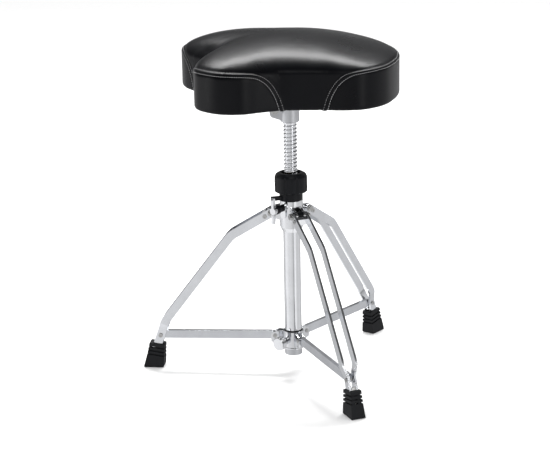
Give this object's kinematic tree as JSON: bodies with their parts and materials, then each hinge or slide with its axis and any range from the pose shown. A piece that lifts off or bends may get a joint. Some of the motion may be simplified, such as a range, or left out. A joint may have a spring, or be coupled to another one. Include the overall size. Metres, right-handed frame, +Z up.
{
  "type": "drum throne",
  "caption": "Height-adjustable drum throne: a padded saddle seat on a threaded rod and a folding, braced tripod of double-bar legs with rubber feet.",
  "frame": {"origin": "on the floor, under the middle of the column, with the throne unfolded", "axes": "+Z up along the column; the left leg points along -X, and the other legs at 300 and 60 degrees about +Z"},
  "size_m": [0.4826, 0.5048, 0.64],
  "materials": {
    "column_chrome": "bright chrome plate on steel tube",
    "hub_chrome": "chrome plate on a zinc casting",
    "bar_chrome": "chrome plate on flat steel bar",
    "brace_chrome": "chrome plate on folded steel channel",
    "collar_chrome": "chrome plate on a zinc casting",
    "knob_chrome": "polished chrome plate",
    "rod_chrome": "chrome plate on a rolled thread",
    "fastener_steel": "bright zinc-plated steel",
    "satin_casting": "satin die casting",
    "nylon_black": "moulded black nylon, satin",
    "insert_brass": "turned brass",
    "foot_rubber": "moulded black rubber",
    "seat_vinyl": "black vinyl with a fine grain and a soft sheen",
    "seat_foam": "moulded polyurethane foam",
    "seat_board": "birch plywood",
    "seat_cloth": "black non-woven dust cloth"
  },
  "bodies": {
    "column": {"column_tube": "column_chrome", "hub": "hub_chrome", "hub_pivot_blocks": "nylon_black", "guide_bushing": "nylon_black", "nut_thrust_washer": "fastener_steel", "tube_end_plug": "satin_casting"},
    "collar": {"brace_collar": "collar_chrome", "collar_liner": "nylon_black", "collar_rivets": "fastener_steel"},
    "lock_knob_body": {"lock_knob": "knob_chrome", "lock_knob_screw": "fastener_steel"},
    "wing_bolt_body": {"wing_bolt": "knob_chrome", "wing_bolt_collar": "nylon_black"},
    "height_nut": {"height_nut_body": "nylon_black", "height_nut_insert": "insert_brass"},
    "rod": {"threaded_rod": "rod_chrome", "rod_end_stop": "fastener_steel"},
    "seat": {"seat_receiver": "satin_casting", "receiver_clamp_bolt": "fastener_steel", "receiver_clamp_nut": "fastener_steel", "flange_screws": "fastener_steel", "tee_nuts": "fastener_steel", "seat_board": "seat_board", "seat_foam": "seat_foam", "seat_top_cover": "seat_vinyl", "seat_panel_near": "seat_vinyl", "seat_panel_far": "seat_vinyl", "seat_panel_back": "seat_vinyl", "seat_bottom_cloth": "seat_cloth"},
    "left_leg": {"left_bar_rear": "bar_chrome", "left_bar_front": "bar_chrome", "left_spacer": "hub_chrome", "left_rivets": "fastener_steel", "left_pivot_bolt": "fastener_steel", "left_foot_core": "fastener_steel", "left_foot": "foot_rubber"},
    "left_brace_body": {"left_brace": "brace_chrome", "left_brace_pin": "fastener_steel"},
    "near_leg": {"near_bar_rear": "bar_chrome", "near_bar_front": "bar_chrome", "near_spacer": "hub_chrome", "near_rivets": "fastener_steel", "near_pivot_bolt": "fastener_steel", "near_foot_core": "fastener_steel", "near_foot": "foot_rubber"},
    "near_brace_body": {"near_brace": "brace_chrome", "near_brace_pin": "fastener_steel"},
    "far_leg": {"far_bar_rear": "bar_chrome", "far_bar_front": "bar_chrome", "far_spacer": "hub_chrome", "far_rivets": "fastener_steel", "far_pivot_bolt": "fastener_steel", "far_foot_core": "fastener_steel", "far_foot": "foot_rubber"},
    "far_brace_body": {"far_brace": "brace_chrome", "far_brace_pin": "fastener_steel"}
  },
  "joints": [
    {"name": "collar_slide", "type": "slide", "parent": "column", "child": "collar", "axis": [0, 0, 1], "range_m": [0, 0.13]},
    {"name": "left_leg_fold", "type": "hinge", "parent": "column", "child": "left_leg", "pos_m": [-0.036, 0, 0.3065], "axis": [0, -1, 0], "range_deg": [0, 34.59]},
    {"name": "left_brace_fold", "type": "hinge", "parent": "collar", "child": "left_brace_body", "pos_m": [-0.0338, 0, 0.067], "axis": [0, -1, 0], "range_deg": [0, 78.11]},
    {"name": "near_leg_fold", "type": "hinge", "parent": "column", "child": "near_leg", "pos_m": [0.018, -0.03118, 0.3065], "axis": [0.866, 0.5, 0], "range_deg": [0, 34.59]},
    {"name": "near_brace_fold", "type": "hinge", "parent": "collar", "child": "near_brace_body", "pos_m": [0.0169, -0.02927, 0.067], "axis": [0.866, 0.5, 0], "range_deg": [0, 78.11]},
    {"name": "far_leg_fold", "type": "hinge", "parent": "column", "child": "far_leg", "pos_m": [0.018, 0.03118, 0.3065], "axis": [-0.866, 0.5, 0], "range_deg": [0, 34.59]},
    {"name": "far_brace_fold", "type": "hinge", "parent": "collar", "child": "far_brace_body", "pos_m": [0.0169, 0.02927, 0.067], "axis": [-0.866, 0.5, 0], "range_deg": [0, 78.11]},
    {"name": "lock_knob_turn", "type": "hinge", "parent": "collar", "child": "lock_knob_body", "pos_m": [-0.015, -0.02598, 0.062], "axis": [-0.5, -0.866, 0], "range_deg": [0, 540]},
    {"name": "wing_bolt_turn", "type": "hinge", "parent": "column", "child": "wing_bolt_body", "pos_m": [-0.025, -0.0433, 0.319], "axis": [-0.5, -0.866, 0], "range_deg": [0, 540]},
    {"name": "height_slide", "type": "slide", "parent": "column", "child": "rod", "axis": [0, 0, 1], "range_m": [-0.09, 0.07]},
    {"name": "height_nut_turn", "type": "hinge", "parent": "column", "child": "height_nut", "pos_m": [0, 0, 0.36], "axis": [0, 0, 1], "continuous": true},
    {"name": "seat_swivel", "type": "hinge", "parent": "rod", "child": "seat", "pos_m": [0, 0, 0.5], "axis": [0, 0, 1], "continuous": true}
  ],
  "couplings": [
    {"joint": "left_leg_fold", "follows": "collar_slide", "rad_per_m": 4.6436},
    {"joint": "left_brace_fold", "follows": "collar_slide", "rad_per_m": 10.486},
    {"joint": "near_leg_fold", "follows": "collar_slide", "rad_per_m": 4.6436},
    {"joint": "near_brace_fold", "follows": "collar_slide", "rad_per_m": 10.486},
    {"joint": "far_leg_fold", "follows": "collar_slide", "rad_per_m": 4.6436},
    {"joint": "far_brace_fold", "follows": "collar_slide", "rad_per_m": 10.486},
    {"joint": "height_nut_turn", "follows": "height_slide", "rad_per_m": -897.6}
  ]
}
